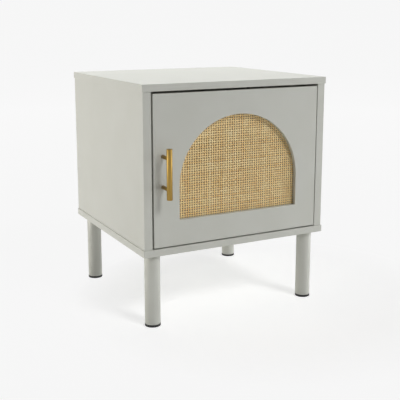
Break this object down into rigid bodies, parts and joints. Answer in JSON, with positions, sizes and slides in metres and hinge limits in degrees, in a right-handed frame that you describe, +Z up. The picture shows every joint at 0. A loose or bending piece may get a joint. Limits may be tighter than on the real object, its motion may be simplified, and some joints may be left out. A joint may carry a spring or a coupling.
{
  "type": "storage side table",
  "caption": "Square storage side table on four round legs, with a board cabinet, an inset hinged door, a woven cane panel in an arched opening and a round bar handle.",
  "frame": {"origin": "on the floor under the middle of the table's whole box, handle included", "axes": "+Z up, +X to the right as seen from the front, the door faces -Y"},
  "size_m": [0.45, 0.454, 0.519],
  "materials": {
    "painted_board": "satin paint on board",
    "painted_leg": "satin paint on turned wood",
    "foot_plastic": "moulded, matte",
    "back_board": "painted hardboard",
    "woven_cane": "natural cane peel, woven open",
    "frame_wood": "painted strip",
    "brass": "brushed, lacquered",
    "dowel_wood": "fluted beech",
    "catch_plastic": "moulded",
    "magnet": "sintered",
    "zinc_alloy": "die cast",
    "zinc_steel": "zinc plated",
    "nickel_steel": "nickel plated"
  },
  "bodies": {
    "cabinet": {"back_left_foot": "foot_plastic", "back_left_leg": "painted_leg", "back_panel": "back_board", "back_right_foot": "foot_plastic", "back_right_leg": "painted_leg", "base_panel": "painted_board", "base_screws": "zinc_steel", "catch_housing": "catch_plastic", "catch_magnet": "magnet", "catch_screws": "zinc_steel", "dowels": "dowel_wood", "front_left_foot": "foot_plastic", "front_left_leg": "painted_leg", "front_right_foot": "foot_plastic", "front_right_leg": "painted_leg", "hinge_arm_pins": "nickel_steel", "hinge_arm_screws": "zinc_steel", "hinge_plate_screws": "zinc_steel", "left_side_panel": "painted_board", "leg_hanger_bolts": "zinc_steel", "leg_insert_nuts": "zinc_alloy", "lower_hinge_arm": "nickel_steel", "lower_hinge_plate": "nickel_steel", "right_side_panel": "painted_board", "top_cam_bolts": "zinc_steel", "top_cam_locks": "zinc_alloy", "top_panel": "painted_board", "upper_hinge_arm": "nickel_steel", "upper_hinge_plate": "nickel_steel"},
    "outer_links": {"lower_hinge_outer_links": "nickel_steel", "upper_hinge_outer_links": "nickel_steel"},
    "inner_links": {"lower_hinge_inner_links": "nickel_steel", "upper_hinge_inner_links": "nickel_steel"},
    "door": {"cane_frame": "frame_wood", "cane_frame_brads": "zinc_steel", "cane_panel": "woven_cane", "door_panel": "painted_board", "handle_bar": "brass", "handle_posts": "brass", "handle_screws": "zinc_steel", "hinge_cup_pins": "nickel_steel", "hinge_cup_screws": "zinc_steel", "lower_hinge_cup": "nickel_steel", "strike_plate": "nickel_steel", "strike_screw": "zinc_steel", "upper_hinge_cup": "nickel_steel"}
  },
  "joints": [
    {"name": "door_swing", "type": "hinge", "parent": "outer_links", "child": "door", "pos_m": [0.18716, -0.1815, 0.3385], "axis": [0, 0, 1], "range_deg": [0, 66.1]},
    {"name": "outer_link_swing", "type": "hinge", "parent": "cabinet", "child": "outer_links", "pos_m": [0.1748, -0.18271, 0.3385], "axis": [0, 0, 1], "range_deg": [0, 27]},
    {"name": "inner_link_swing", "type": "hinge", "parent": "cabinet", "child": "inner_links", "pos_m": [0.17995, -0.18122, 0.3385], "axis": [0, 0, 1], "range_deg": [0, 66]}
  ],
  "couplings": [
    {"joint": "outer_link_swing", "follows": "door_swing", "ratio": 0.39082},
    {"joint": "inner_link_swing", "follows": "door_swing", "ratio": 0.95827}
  ]
}
